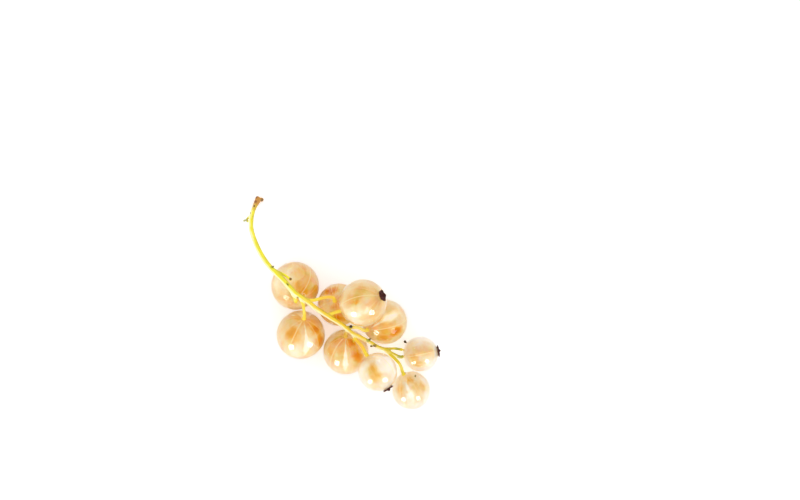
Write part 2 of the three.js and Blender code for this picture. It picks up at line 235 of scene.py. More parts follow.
STAIN_COLOURS = {
    "dark": "6B2A10", "umber": "7A5A1C", "grey": "A9A878", "green": "84901E", "black": "1D100A",
    "ochre": "D3A428", "gold": "EEBF3A", "pale": "F5E284",
}
# A fleck of dry scale that has fallen on the last berry.
FLECK = {"root": (16.35, -16.15, 7.25), "tip": (0.1, 1.0, 0.35), "face": (0.2, 0.3, 1)}
FLECK_SHARE = 0.7

CAMERA_PLACE = (13.0, 11.6, 700.0)
CAMERA_VIEW_WIDTH = 176.0  # what the view spans at the height of the berries' middles
CAMERA_VIEW_HEIGHT = 5.0
SENSOR_WIDTH = 36.0

# The ways that the lamps are seen from the sprig; they and the surface are measured in metres.
LAMPS = {"left_light": (-0.59, -0.76, 0.27), "right_light": (0.62, -0.67, 0.40)}
LAMP_DISTANCE = 0.8
LAMP_RADIUS = 0.15
SURFACE_SIZE = 6.0

# What a skin's depth leaves of white light, and how fast, for each kind of berry.
SKIN_DEPTH_COLOUR = (0.91, 0.68, 0.1, 1.0)
SKIN_DENSITY = {"berry_amber": 115.0, "berry_pale": 50.0}
# The tint of the shadow that each thing throws, and how much painted shade darkens a berry's
# underside.
SKIN_SHADOW = "FFFAF0"
PULP_SHADOW = {"berry_amber": "C4803A", "berry_pale": "E6C692"}
PULP_UNDERSIDE_SHADE = {"berry_amber": 0.6, "berry_pale": 0.15}
# Emission that stands for the light which scatters inside each thing.
PULP_GLOW = 0.36
STEM_GLOW = 0.2
SURFACE_GLOW = 0.42
SURFACE_GLOW_COLOUR = (0.93, 0.95, 1.0, 1.0)

STEM_LIT_SIDE = "FCF5C4"
STEM_SHADED_SIDE = "B8A428"
BRACT_RIDGE = "A89A3C"


def colour(hex_code):
    """A linear colour, with alpha, from a screen colour written as six hexadecimal digits."""
    def linear(channel):
        share = channel / 255
        return share / 12.92 if share <= 0.04045 else ((share + 0.055) / 1.055) ** 2.4
    return tuple(linear(int(hex_code[i:i + 2], 16)) for i in (0, 2, 4)) + (1.0,)


# ---- What a user would change ----

def size_setting(name, description, default_mm):
    return FloatProperty(name=name, description=description, default=default_mm * MM,
                         min=0.0, unit="LENGTH", precision=5)


def share_setting(name, description, default):
    return FloatProperty(name=name, description=description, default=default,
                         min=0.0, max=1.0, subtype="FACTOR")


def colour_setting(name, description, hex_code):
    return FloatVectorProperty(name=name, description=description, default=colour(hex_code),
                               size=4, min=0.0, max=1.0, subtype="COLOR")


class BerryLooks(bpy.types.PropertyGroup):
    skin: colour_setting("Skin", "Skins on their upper sides", "FFFDF8")
    # Painted shade: the skins' colour low on the berries' sides.
    skin_low_shade: colour_setting("Skin, low", "Skins low on the berries' sides", "F5EAD2")
    pulp_share: share_setting("Pulp size", "Radius of the pulp, as a share of the berry's", 0.84)
    vein_count: IntProperty(
        name="Veins", description="Strands that run from the stalk to the calyx", default=10, min=0)
    vein_thickness: size_setting("Vein thickness", "Diameter of the strongest strand", 0.12)
    seed_length: size_setting("Seed length", "Length of one seed", 2.3)
    pulp: colour_setting("Pulp", "What one depth of pulp leaves of white light", "FDDFA0")
    pinker: colour_setting("Pulp, pinker", "The same where the pulp is pinker", "FCD8A6")
    greener: colour_setting("Pulp, greener", "The same where the pulp is greener", "F7E199")
    glow: colour_setting("Pulp round seeds", "The same where a seed lies close", "FBDF8C")
    flesh: colour_setting("Flesh", "What the pulp throws back where it has no colour", "E1DCD9")
    # Also the colour of the glints, spots of painted light in the pulp.
    clear: colour_setting("Flesh, clear", "The same where the pulp is clear", "F6F2F0")
    # Painted shade: the flesh's colour on a berry's underside.
    under: colour_setting("Flesh, underside", "The same on a berry's underside", "CCBEAC")
    vein: colour_setting("Vein", "Strands under the skin", "FBD8A6")


class CalyxLooks(bpy.types.PropertyGroup):
    radius: size_setting("Radius", "From the middle of the dried flower to its rim", 1.22)
    height: size_setting("Height", "From the skin to the tip of the tuft", 0.72)
    fold: colour_setting("Folds", "Dried sepals, in their folds", "300C08")
    ridge: colour_setting("Ridges", "Dried sepals, on their ridges", "8E4030")


class StemLooks(bpy.types.PropertyGroup):
    cut_end_diameter: size_setting("Cut end", "Diameter of the stem at its cut end", 0.98)
    tip_diameter: size_setting("Tip", "Diameter of the stem at its last berry", 0.72)
    swelling: size_setting("Swelling", "What the stem is thicker half way along", 0.28)
    stalk_diameter: size_setting("Stalks", "Diameter of a berry's stalk", 0.72)
    young: colour_setting("Young", "Stem between its cut end and the first berry", "EBE22A")
    ripe: colour_setting("Ripe", "Stem over the berries", "F3D63C")
    old: colour_setting("Old", "Stem near its tip", "D8C628")
    bark: colour_setting("Torn end", "Wood where the sprig was torn off", "C48C3A")
    bract: colour_setting("Scale leaves", "Dry scale leaves at the stalks' roots", "5A4E16")


class StageLooks(bpy.types.PropertyGroup):
    room_light: FloatProperty(
        name="Room light", description="Brightness of the even light all round", default=0.87,
        min=0.0)
    lamp_light: FloatProperty(
        name="Lamps", description="Brightness of the two lamps that glint on the skins",
        default=11.5, min=0.0)
    surface: colour_setting("Surface", "What the sprig lies on", "F3F3F3")


# ---- Places and directions ----

def vector(place):
    """A place of the tables, in metres."""
    return Vector(place) * MM


def direction(azimuth, elevation):
    """Unit vector for an azimuth from +X towards +Y and an elevation, in degrees."""
    turn, rise = math.radians(azimuth), math.radians(elevation)
    level = math.cos(rise)
    return Vector((level * math.cos(turn), level * math.sin(turn), math.sin(rise)))


def turned(axis, side):
    """Rotation that lays Z along axis and leans X towards side."""
    z = axis.normalized()
    x = (side - z * side.dot(z)).normalized()
    return Matrix((x, z.cross(x), z)).transposed()


def aimed(spots):
    """The spots of a berry's table, with a direction in place of azimuth and elevation."""
    return [(direction(azimuth, elevation), reach, strength)
            for azimuth, elevation, reach, strength in spots]


def fade(distance, length):
    """1 at no distance, falling smoothly to 0 over the length."""
    return math.exp(-((distance / length) ** 2))


class Fruit:
    """One berry's place, size and directions, read from the frame's solids and the table above."""

    def __init__(self, number):
        low, high = (Vector(corner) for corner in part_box(f"berry_{number}"))
        crown_low, crown_high = (Vector(corner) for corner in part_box(f"calyx_{number}"))
        look = BERRIES[number]
        self.number = number
        self.radius = max(high.x - low.x, high.y - low.y) / 2
        self.centre = Vector(((low.x + high.x) / 2, (low.y + high.y) / 2, high.z - self.radius))
        self.stalk_axis = direction(*look["stalk"])
        self.calyx_axis = ((crown_low + crown_high) / 2 - self.centre).normalized()
        self.clear_side = direction(*look["clear_side"])
        self.turn = turned(self.stalk_axis, self.clear_side)
        self.wedge = math.radians(look["wedge"])
        self.wedge_edge = look["edge"]
        self.clear = look["clear"]
        self.depth = look["depth"]
        self.lost_low = look["lost_low"]
        self.skin_tint = look["skin_tint"]
        self.vein_side = direction(*look["vein"])
        self.seeds = aimed(look["seeds"])
        self.glints = aimed(look["glints"])
        self.dull = [(self.centre + way * self.radius, reach * self.radius, strength)
                     for way, reach, strength in aimed(look.get("dull", []))]
        self.slot = "berry_pale" if number >= FIRST_PALE_BERRY else "berry_amber"

    def own(self, way):
        """The way as seen from the berry: Z along its stalk, X towards its clear side."""
        return self.turn.transposed() @ way


FRUITS = [Fruit(number) for number in BERRIES]


# ---- Modelling helpers ----

def deselect():
    bpy.ops.object.select_all(action="DESELECT")


def activate(piece):
    """Select this piece alone."""
    deselect()
    piece.select_set(True)
    bpy.context.view_layer.objects.active = piece


def named(name):
    """The object just made, given its name."""
    piece = bpy.context.object
    piece.name = name
    piece.data.name = name
    return piece


def apply_place():
    bpy.ops.object.transform_apply(location=True, rotation=True, scale=True)


def pick(piece, wanted):
    """Select the vertices for which wanted(place) holds, and leave the piece in edit mode."""
    bpy.ops.object.mode_set(mode="EDIT")
    bpy.ops.mesh.select_mode(type="VERT")
    bpy.ops.mesh.select_all(action="DESELECT")
    bpy.ops.object.mode_set(mode="OBJECT")
    for vertex in piece.data.vertices:
        vertex.select = wanted(vertex.co)
    bpy.ops.object.mode_set(mode="EDIT")


def leave_edit():
    bpy.ops.object.mode_set(mode="OBJECT")


def soft(reach, falloff="SMOOTH"):
    """The settings of a move that takes what lies within reach along with it."""
    return {"use_proportional_edit": True, "proportional_edit_falloff": falloff,
            "proportional_size": reach}


def apply_modifier(piece, kind, **settings):
    """Add a modifier with these settings and apply it."""
    modifier = piece.modifiers.new(kind.title(), kind)
    for name, value in settings.items():
        setattr(modifier, name, value)
    bpy.ops.object.modifier_apply(modifier=modifier.name)


def copy_to(piece, place, turn):
    """A copy of the piece with a mesh of its own, moved and turned; its place is in its mesh."""
    activate(piece)
    bpy.ops.object.duplicate(linked=False)
    twin = bpy.context.object
    twin.location = place
    twin.rotation_euler = turn.to_euler()
    apply_place()
    return twin


def remove(piece):
    activate(piece)
    bpy.ops.object.delete()


def join(pieces, name):
    """Join the pieces into the first one."""
    deselect()
    for piece in pieces:
        piece.select_set(True)
    bpy.context.view_layer.objects.active = pieces[0]
    bpy.ops.object.join()
    return named(name)


def crumple(piece, size, depth, name):
    """Dent the piece with a soft noise of this size."""
    texture = bpy.data.textures.new(name, "CLOUDS")
    texture.noise_scale = size
    texture.noise_depth = 2
    apply_modifier(piece, "DISPLACE", texture=texture, texture_coords="LOCAL", strength=depth,
                   mid_level=0.5)


def rest_on_surface(piece):
    """Flatten what would sink below the surface."""
    pick(piece, lambda place: place.z < 0)
    bpy.ops.transform.resize(value=(1, 1, 0), center_override=(0, 0, 0))
    leave_edit()


def finish_piece(piece, material, slot, *nodes):
    """Shade and colour the piece and put it on the one body; nodes are the solids it stands for."""
    activate(piece)
    bpy.ops.object.shade_smooth()
    piece.data.materials.clear()
    piece.data.materials.append(material)
    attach(piece, "root")
    if nodes:
        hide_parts(*nodes)
    deselect()


# ---- Shader maths ----

class Value:
    """A socket that carries a number or a vector; arithmetic on it adds Math nodes."""

    def __init__(self, paint, socket):
        self.paint = paint
        self.socket = socket

    def __add__(self, other):
        return self.paint.math("ADD", self, other)

    def __sub__(self, other):
        return self.paint.math("SUBTRACT", self, other)

    def __rsub__(self, other):
        return self.paint.math("SUBTRACT", other, self)

    def __mul__(self, other):
        return self.paint.math("MULTIPLY", self, other)

    __radd__ = __add__
    __rmul__ = __mul__


class Paint:
    """A material's node tree, built in expressions."""

    def __init__(self, name):
        self.material = bpy.data.materials.new(name)
        self.material.use_nodes = True
        self.tree = self.material.node_tree
        self.tree.nodes.clear()
        self.output = self.tree.nodes.new("ShaderNodeOutputMaterial")

    def node(self, kind, values=None, out=0, **settings):
        """Add a node: its settings first, then the values or links of its sockets."""
        node = self.tree.nodes.new(kind)
        for name, setting in settings.items():
            setattr(node, name, setting)
        for key, value in (values or {}).items():
            if isinstance(value, Value):
                self.tree.links.new(value.socket, node.inputs[key])
            else:
                node.inputs[key].default_value = value
        return Value(self, node.outputs[out])

    def math(self, operation, *operands):
        return self.node("ShaderNodeMath", dict(enumerate(operands)), operation=operation)

    def largest(self, values):
        """The largest of the values."""
        result = values[0]
        for value in values[1:]:
            result = self.math("MAXIMUM", result, value)
        return result

    def step(self, value, low, high):
        """0 below low, 1 above high, smooth between; low above high turns it round."""
        values = {"Value": value, "From Min": low, "From Max": high}
        return self.node("ShaderNodeMapRange", values, interpolation_type="SMOOTHSTEP")

    def mix(self, share, first, second, blend="MIX"):
        values = {0: share, 6: first, 7: second}
        return self.node("ShaderNodeMix", values, out=2, data_type="RGBA", blend_type=blend)

    def through(self, tint, depth):
        """What is left of white light this deep in something that leaves the tint at depth 1."""
        return self.vector(*(self.math("POWER", share, depth) for share in self.parts(tint)))

    def place(self):
        return self.node("ShaderNodeTexCoord", out="Object")

    def vector_math(self, operation, *operands, out=0):
        return self.node(
            "ShaderNodeVectorMath", dict(enumerate(operands)), out=out, operation=operation)

    def distance(self, first, second):
        return self.vector_math("DISTANCE", first, second, out="Value")

    def noise(self, where, scale, detail=2.0, roughness=0.5, out=0):
        values = {"Vector": where, "Scale": scale, "Detail": detail, "Roughness": roughness}
        return self.node("ShaderNodeTexNoise", values, out=out)

    def parts(self, where):
        """The three coordinates of a vector."""
        split = self.node("ShaderNodeSeparateXYZ", {0: where})
        return [Value(self, socket) for socket in split.socket.node.outputs]

    def vector(self, x, y, z):
        return self.node("ShaderNodeCombineXYZ", {0: x, 1: y, 2: z})

    def bump(self, height, distance, strength):
        values = {"Height": height, "Distance": distance, "Strength": strength}
        return self.node("ShaderNodeBump", values)

    def surface(self, **values):
        """A Principled surface; underscores in the names stand for spaces."""
        sockets = {name.replace("_", " "): value for name, value in values.items()}
        return self.node("ShaderNodeBsdfPrincipled", sockets)

    def height_in(self, fruit):
        """The height above the berry's middle, as a share of its radius."""
        _, _, height = self.parts(self.vector_math("SUBTRACT", self.place(), fruit.centre))
        return height * (1.0 / fruit.radius)

    def spots(self, where, fruit, spots):
        """The strongest of the berry's spots, drawn out from stalk to calyx as the seeds are."""
        drawn_out = Vector((1.0, 1.0, 0.7))
        where = self.vector_math("MULTIPLY", where, drawn_out)
        shares = []
        for way, reach, strength in spots:
            gap = self.distance(where, fruit.own(way) * drawn_out)
            shares.append(self.step(gap, reach * 1.2, 0.0) * strength)
        return self.largest(shares)

    def lets_light_through(self, surface, tint):
        """The surface, with a tinted shadow in place of a black one."""
        clear = self.node("ShaderNodeBsdfTransparent", {"Color": colour(tint)})
        shadow = self.node("ShaderNodeLightPath", out="Is Shadow Ray")
        return self.node("ShaderNodeMixShader", {0: shadow, 1: surface, 2: clear})

    def finish(self, surface, volume=None):
        self.tree.links.new(surface.socket, self.output.inputs["Surface"])
        if volume:
            self.tree.links.new(volume.socket, self.output.inputs["Volume"])
        return self.material


# ---- Materials ----

def skin_material(fruit, looks):
    """Clear, glossy berry skin whose depth tints the light amber, with painted shade low on its
    sides.
    """
    paint = Paint(f"skin_{fruit.number}")
    # Painted shade: the skin is tinted darker low on the berry's sides.
    low = paint.step(paint.height_in(fruit), 0.45, 0.1) * fruit.skin_tint
    dull = [paint.step(paint.distance(paint.place(), place), reach, reach * 0.6) * strength
            for place, reach, strength in fruit.dull]
    gloss = paint.surface(
        Base_Color=paint.mix(low, looks.skin, looks.skin_low_shade), Roughness=0.0, IOR=1.25,
        Transmission_Weight=1.0,
        Coat_Weight=1.0 - paint.largest(dull) if dull else 1.0, Coat_Roughness=0.04, Coat_IOR=1.5)
    volume = paint.node(
        "ShaderNodeVolumeAbsorption",
        {"Color": SKIN_DEPTH_COLOUR, "Density": SKIN_DENSITY[fruit.slot]})
    return paint.finish(paint.lets_light_through(gloss, SKIN_SHADOW), volume)


def pulp_material(fruit, looks):
    """Soft pulp: amber round the seeds, streaked from stalk to calyx, and a clear wedge between."""
    paint = Paint(f"pulp_{fruit.number}")
    local = paint.node(
        "ShaderNodeMapping",
        {"Vector": paint.place(), "Location": fruit.centre, "Rotation": fruit.turn.to_euler(),
         "Scale": (fruit.radius,) * 3},
        vector_type="TEXTURE")
    level = paint.vector_math("NORMALIZE", local)
    x, y, z = paint.parts(level)
    draw = random.Random(fruit.number)
    offset = Vector([draw.uniform(-9, 9) for _ in range(3)])
    shifted = paint.vector_math("ADD", level, offset)
    around = paint.math("ABSOLUTE", paint.math("ARCTAN2", y, x))
    ax, ay, _ = paint.parts(paint.vector_math("NORMALIZE", paint.vector(x, y, 0.0)))

    # Bands and fine fibres that run from stalk to calyx, and cloudy patches.
    bands = paint.noise(paint.vector(ax * 1.3, ay * 1.3, z * 0.35 + offset.z), 1.6)
    fibres = paint.noise(paint.vector(ax * 6.0, ay * 6.0, z * 0.8 + offset.x), 2.2, detail=5.0,
                         roughness=0.65)
    clouds = paint.noise(shifted, 2.4, detail=4.0, roughness=0.55)
    hues = paint.noise(shifted, 1.7, out="Color")
    grit = paint.noise(shifted, 16.0, detail=3.0, roughness=0.7)

    # The glow of the seeds that lie close under the skin.
    waver = paint.noise(shifted, 3.2, detail=4.0, roughness=0.6, out="Color")
    bent = paint.vector_math("SUBTRACT", waver, (0.5, 0.5, 0.5))
    bent = paint.vector_math("MULTIPLY_ADD", bent, (0.5,) * 3, level)
    glow = paint.spots(bent, fruit, fruit.seeds)
    unevenness = 0.25 + 0.35 * fruit.depth
    depth = (paint.step(bands * 0.5 + clouds * 0.5, 0.36, 0.64) - 0.5) * (0.9 * unevenness)
    depth = depth + (fibres - 0.5) * (paint.math("ABSOLUTE", z) * 0.9 + 0.8) * unevenness
    depth = depth + (clouds - 0.5) * unevenness + glow + fruit.depth

    # The clear wedge, narrow at the stalk and faint at the calyx, a narrower one on the far side,
    # and the glints, spots where the pulp is clearer and painted paler as painted light shining
    # through.
    width = (paint.step(z, 1.0, 0.3) * 1.3 + 0.4) * (paint.step(z, -0.6, 0.2) * 0.65 + 0.35)
    width = width * fruit.wedge
    away = around + (clouds - 0.5) * 0.2 - width
    away = away * (1.0 - paint.step(z, 0.3, -0.5) * 0.6)
    near = paint.step(away, fruit.wedge_edge, -fruit.wedge_edge) * paint.step(z, -0.95, -0.1)
    far = paint.step(around, math.pi - 0.3, math.pi - 0.16) * 0.5
    clear = paint.largest([near, far]) * fruit.clear
    clear = paint.largest([clear, paint.spots(bent, fruit, fruit.glints)])
    clear = paint.math("MINIMUM", clear * (0.95 + (grit - 0.5) * 0.7), 1.0)
    ends = paint.step(paint.math("ABSOLUTE", z), 0.86, 1.0)
    height = paint.height_in(fruit)
    # Painted light, with clearer flesh: the pulp's colour fades low on the berry's sides, where
    # light from the white surface falls.
    low = paint.step(height, 0.5, 0.25) * fruit.lost_low
    depth = paint.math("MAXIMUM", depth + ends * 0.4, 0.1) * (1.0 - clear) * (1.0 - low)

    # What this depth of pulp leaves of white light, over flesh with painted shade underneath.
    pinker, greener, _ = paint.parts(hues)
    tint = paint.mix(paint.step(pinker, 0.5, 0.64), looks.pulp, looks.pinker)
    tint = paint.mix(paint.step(greener, 0.5, 0.64), tint, looks.greener)
    tint = paint.mix(paint.step(glow, 0.6, 2.2), tint, looks.glow)
    tone = paint.through(tint, depth)
    # Painted shade on the pulp's underside.
    under = paint.step(height, 0.3, -0.05) * PULP_UNDERSIDE_SHADE[fruit.slot]
    white = paint.mix(under, paint.mix(clear, looks.flesh, looks.clear), looks.under)
    flesh = paint.mix(1.0, tone, white, "MULTIPLY")
    surface = paint.surface(
        Base_Color=flesh, Roughness=0.9, Specular_IOR_Level=0.0, Emission_Color=flesh,
        Emission_Strength=PULP_GLOW)
    return paint.finish(paint.lets_light_through(surface, PULP_SHADOW[fruit.slot]))


def vein_material(looks):
    """Pale strand that glows as the pulp does."""
    paint = Paint("vein")
    surface = paint.surface(
        Base_Color=looks.vein, Roughness=0.5, Emission_Color=looks.vein,
        Emission_Strength=PULP_GLOW)
    return paint.finish(surface)


def stem_material(looks):
    """Stem: yellow-green, browned at the torn end, golden over the berries, olive at the tip."""
    paint = Paint("stem")
    where = paint.place()
    grain = paint.node("ShaderNodeAttribute", attribute_name="grain", out="Vector")
    along, across, away = paint.parts(grain)
    sine, cosine = paint.math("SINE", across), paint.math("COSINE", across)
    streaks = paint.noise(
        paint.vector(along * 0.3, sine * 1.6, cosine * 1.6), 1.4, detail=4.0, roughness=0.6)
    mottle = paint.noise(where, 900.0, detail=4.0)
    run = along + (mottle - 0.5) * 3.0
    tone = paint.mix(paint.step(run, 24.0, 33.0), looks.young, looks.ripe)
    tone = paint.mix(paint.step(run, 43.0, 50.0), tone, looks.old)
    side = (sine + (streaks - 0.5) * 2.4) * paint.step(away, 1.1, 0.8)
    tone = paint.mix(paint.step(side, 0.0, 0.7) * 0.85, tone, colour(STEM_LIT_SIDE))
    tone = paint.mix(paint.step(side, -0.2, -0.9) * 0.6, tone, colour(STEM_SHADED_SIDE))
    torn = paint.step(along + (mottle - 0.5) * 2.4, 4.4, 1.0)
    tone = paint.mix(torn, tone, looks.bark)
    for place, reach, strength, stain in STAINS:
        gap = paint.distance(where, vector(place)) * (1.0 / (reach * MM))
        share = paint.step(gap + (mottle - 0.5) * 0.9, 1.1, 0.45) * strength
        tone = paint.mix(share, tone, colour(STAIN_COLOURS[stain]))
    surface = paint.surface(
        Base_Color=tone, Roughness=0.36, Specular_IOR_Level=0.5, Subsurface_Weight=0.35,
        Subsurface_Radius=(0.0006, 0.0006, 0.0002), Subsurface_Scale=1.0,
        Emission_Color=tone, Emission_Strength=STEM_GLOW,
        Normal=paint.bump(streaks * 0.6 + mottle * 0.4, 0.00006, 0.7))
    return paint.finish(surface)


def dry_material(name, fold, ridge, size):
    """Dried plant tissue: crumpled, dull, darker in its folds."""
    paint = Paint(name)
    wrinkles = paint.noise(paint.place(), 1.0 / size, detail=5.0, roughness=0.65)
    tone = paint.mix(paint.step(wrinkles, 0.42, 0.7), fold, ridge)
    surface = paint.surface(
        Base_Color=tone, Roughness=0.65, Specular_IOR_Level=0.2,
        Normal=paint.bump(wrinkles, 0.0001, 0.8))
    return paint.finish(surface)


def surface_material(looks):
    """White surface, lit from below as well, so that the berries glow."""
    paint = Paint("white_surface")
    surface = paint.surface(
        Base_Color=looks.surface, Roughness=0.9, Specular_IOR_Level=0.2,
        Emission_Color=SURFACE_GLOW_COLOUR, Emission_Strength=SURFACE_GLOW)
    return paint.finish(surface)


# ---- Berries ----

def ball(name, fruit, radius):
    """A sphere round the berry's middle whose poles lie on the line from the stalk."""
    bpy.ops.mesh.primitive_uv_sphere_add(
        segments=BALL_SEGMENTS, ring_count=BALL_RINGS, radius=radius,
        location=fruit.centre, rotation=fruit.turn.to_euler())
    apply_place()
    return named(name)


def skin(fruit, looks):
    """The berry's clear skin, pitted where the stalk ends and flat where it lies on the surface."""
    piece = ball(f"berry_skin_{fruit.number}", fruit, fruit.radius)
    pole = fruit.centre + fruit.stalk_axis * fruit.radius
    pick(piece, lambda place: (place - pole).length < 1e-6)
    bpy.ops.transform.translate(
        value=-fruit.stalk_axis * DIMPLE_DEPTH * MM, **soft(DIMPLE_WIDTH * MM))
    leave_edit()
    rest_on_surface(piece)
    finish_piece(piece, skin_material(fruit, looks), fruit.slot, f"berry_{fruit.number}")


def pulp(fruit, looks):
    """The berry's pulp, furrowed along its clear wedge and pitted at its two ends."""
    radius = fruit.radius * looks.pulp_share
    piece = ball(f"pulp_{fruit.number}", fruit, radius)
    for side, depth in PULP_FURROWS.items():
        pick(piece, lambda place: in_furrow(fruit, place, side))
        bpy.ops.transform.resize(
            value=(1 - depth,) * 3, center_override=fruit.centre, **soft(0.3 * radius))
        leave_edit()
    for end in (1, -1):
        pole = fruit.centre + fruit.stalk_axis * end * radius
        pick(piece, lambda place: (place - pole).length < 0.05 * radius)
        bpy.ops.transform.translate(
            value=-fruit.stalk_axis * end * PULP_END_PIT * radius, **soft(0.4 * radius))
        leave_edit()
    finish_piece(piece, pulp_material(fruit, looks), fruit.slot)


def in_furrow(fruit, place, side):
    """Whether a place on the pulp lies in the middle of the clear wedge, or opposite to it."""
    way = fruit.own(place - fruit.centre)
    return side * way.x > 0 and abs(way.y) < 0.06 * fruit.radius


def seed_pattern(looks):
    """One seed at the origin, its point towards Z and its back towards X."""
    bpy.ops.mesh.primitive_uv_sphere_add(segments=32, ring_count=20, radius=looks.seed_length / 2)
    piece = named("seed")
    pick(piece, lambda place: True)
    bpy.ops.transform.resize(value=SEED_SHAPE)
    leave_edit()
    tip = looks.seed_length / 2
    pick(piece, lambda place: place.z > 0.98 * tip)
    bpy.ops.transform.translate(value=(0, 0, 0.12 * tip), **soft(0.5 * tip, "SHARP"))
    leave_edit()
    return piece


def seeds(fruit, pattern, looks):
    """The seeds half sunk in the pulp: the ones that show, then others round the hidden sides."""
    draw = random.Random(fruit.number + 100)
    ways = [way for way, _, _ in fruit.seeds]
    for spot in range(HIDDEN_SEEDS):
        way = direction(fruit.number * 40 + spot * 360 / HIDDEN_SEEDS, draw.uniform(-60, -20))
        if abs(fruit.own(way).z) < 0.9:
            ways.append(way)
    sunk = []
    for way in ways:
        place = fruit.centre + way * fruit.radius * looks.pulp_share * SEED_LEVEL
        tilt = fruit.stalk_axis - way * fruit.stalk_axis.dot(way)
        sunk.append(copy_to(pattern, place, turned(tilt, way)))
    piece = join(sunk, f"seeds_{fruit.number}")
    finish_piece(piece, bpy.data.materials[f"pulp_{fruit.number}"], fruit.slot)


def veins(fruit, looks, material):
    """Thin strands just under the skin, from stalk to calyx, the first one the strongest."""
    draw = random.Random(fruit.number)
    strong = fruit.own(fruit.vein_side)
    start = math.atan2(strong.y, strong.x)
    strands = []
    for strand in range(looks.vein_count):
        first = strand == 0
        shift = 0.0 if first else draw.uniform(-0.3, 0.3)
        angle = start + 2 * math.pi * (strand + shift) / looks.vein_count
        radius = looks.vein_thickness / 2 * (1.0 if first else draw.uniform(0.25, 0.5))
        sway = draw.uniform(-0.06, 0.06)
        route = []
        for step in range(VEIN_STEPS + 1):
            polar = math.radians(8 + 164 * step / VEIN_STEPS)
            turn = angle + sway * math.sin(2 * polar + strand)
            way = Vector((math.sin(polar) * math.cos(turn), math.sin(polar) * math.sin(turn),
                          math.cos(polar)))
            route.append(fruit.centre + fruit.turn @ way * VEIN_LEVEL * fruit.radius)
        strands.append(tube(
            route, lambda from_root, from_tip: radius * (1 - 0.4 * fade(from_tip, 2.0)), sides=2))
    piece = join(strands, f"veins_{fruit.number}")
    rest_on_surface(piece)
    finish_piece(piece, material, fruit.slot)


# ---- Calyxes ----

def calyx_pattern(looks):
    """One dried flower at the origin, bent over the skin below: five curled sepals and a tuft."""
    foot = 0.5 * looks.radius
    bpy.ops.mesh.primitive_circle_add(vertices=60, radius=foot, fill_type="NOTHING")
    piece = named("calyx_pattern")
    pick(piece, lambda place: True)
    for outward, rise in SEPAL_RINGS:
        bpy.ops.mesh.extrude_edges_move()
        bpy.ops.transform.translate(value=(0, 0, rise * MM))
        bpy.ops.transform.resize(value=(outward, outward, 1), center_override=(0, 0, 0))
    leave_edit()
    for vertex in piece.data.vertices:
        around = math.atan2(vertex.co.y, vertex.co.x)
        away = math.hypot(vertex.co.x, vertex.co.y)
        wave = math.cos(5 * around) * min(1.0, away / looks.radius) ** 2
        vertex.co.x *= 1 + 0.1 * wave
        vertex.co.y *= 1 + 0.1 * wave
        vertex.co.z += 0.05 * MM * wave - away ** 2 / (2 * CALYX_BEND_RADIUS * MM)
    apply_modifier(piece, "SOLIDIFY", thickness=SEPAL_THICKNESS * MM, offset=0.0)
    parts = [piece]
    for spike in range(TUFT_SPIKES):
        turn = spike * TUFT_TURN
        middle = spike == 0
        lean = 0.0 if middle else 0.45
        reach = 0.0 if middle else 0.2 * looks.radius
        height = looks.height * (1.0 if middle else 0.8)
        bpy.ops.mesh.primitive_cone_add(
            vertices=8, radius1=0.18 * MM, radius2=0.04 * MM, depth=height,
            location=(reach * math.cos(turn), reach * math.sin(turn), height / 2),
            rotation=(lean * math.sin(turn), -lean * math.cos(turn), 0))
        apply_place()
        parts.append(bpy.context.object)
    bpy.ops.mesh.primitive_uv_sphere_add(segments=24, ring_count=12, radius=0.62 * looks.radius)
    cushion = bpy.context.object
    cushion.scale = (1, 1, 0.2)
    apply_place()
    parts.append(cushion)
    return join(parts, "calyx_pattern")


def calyx(fruit, pattern, material):
    """A copy of the dried flower on this berry, crumpled in its own way."""
    foot = fruit.centre + fruit.calyx_axis * (fruit.radius + CALYX_CLEARANCE * MM)
    copy_to(pattern, foot, turned(fruit.calyx_axis, fruit.clear_side))
    piece = named(f"dried_calyx_{fruit.number}")
    apply_modifier(piece, "SUBSURF", levels=1, render_levels=1)
    crumple(piece, 0.5 * MM, 0.16 * MM, piece.name)
    rest_on_surface(piece)
    finish_piece(piece, material, "calyx", f"calyx_{fruit.number}")


# ---- Stem ----

def stalk_end(fruit):
    """The last stretch of a stalk, straight down the berry's axis into its pit."""
    pit_floor = fruit.radius + (STALK_CLEARANCE - DIMPLE_DEPTH) * MM
    return [fruit.centre + fruit.stalk_axis * (pit_floor + reach * MM)
            for reach in (STALK_APPROACH, 0.0)]


def distances(route):
    """How far along the route each of its points lies."""
    run = [0.0]
    for before, after in zip(route, route[1:]):
        run.append(run[-1] + (after - before).length)
    return run


def tube(route, radius_at, sides):
    """A round tube through the route; radius_at takes the distances from both ends, in mm."""
    bpy.ops.curve.primitive_bezier_curve_add()
    bpy.ops.object.mode_set(mode="EDIT")
    bpy.ops.curve.select_all(action="SELECT")
    bpy.ops.curve.delete(type="VERT")
    for place in route:
        bpy.ops.curve.vertex_add(location=place)
    bpy.ops.curve.select_all(action="SELECT")
    bpy.ops.curve.handle_type_set(type="AUTOMATIC")
    leave_edit()
    curve = bpy.context.object.data
    curve.dimensions = "3D"
    curve.bevel_depth = 1.0
    curve.bevel_resolution = sides
    curve.resolution_u = 6
    curve.use_fill_caps = True
    run = distances(route)
    for point, distance in zip(curve.splines[0].bezier_points, run):
        point.radius = radius_at(distance / MM, (run[-1] - distance) / MM)
    bpy.ops.object.convert(target="MESH")
    return bpy.context.object


